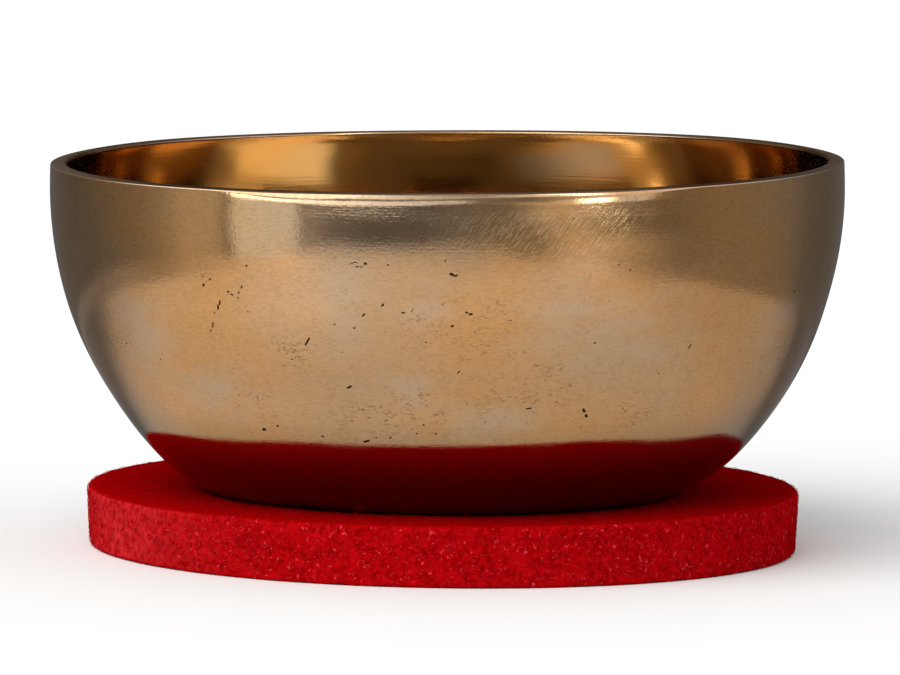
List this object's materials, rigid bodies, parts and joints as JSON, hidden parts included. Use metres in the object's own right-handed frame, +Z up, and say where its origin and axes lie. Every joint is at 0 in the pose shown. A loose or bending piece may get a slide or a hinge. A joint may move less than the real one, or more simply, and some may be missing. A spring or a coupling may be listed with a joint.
{
  "type": "singing bowl",
  "caption": "Hand-hammered bronze bowl with a thick flat-topped rim and a small flat base, standing loose in the shallow hollow that it has pressed in a thick round felt mat",
  "frame": {"origin": "on the surface that the mat lies on, straight under the middle of the bowl's widest circle", "axes": "+Z up; +X towards the side where the felt is a little thicker and the bowl's rim stands a little higher; -Y is the front, where the bowl comes nearest to the edge of the mat"},
  "size_m": [0.2, 0.1998, 0.1004],
  "materials": {
    "bronze": "hand-hammered and hand-scraped bell bronze, polished, with small black pits, fine scratches and patches of pale grey-green patina",
    "red_felt": "thick pressed wool felt, dyed deep red, with a fuzzy cut edge and loose fibres"
  },
  "bodies": {
    "mat": {"felt_mat": "red_felt"},
    "bowl": {"bowl": "bronze"}
  },
  "joints": [
    {"name": "bowl_lift", "type": "slide", "parent": "mat", "child": "bowl", "axis": [0, 0, 1], "range_m": [0, 0.03]}
  ]
}
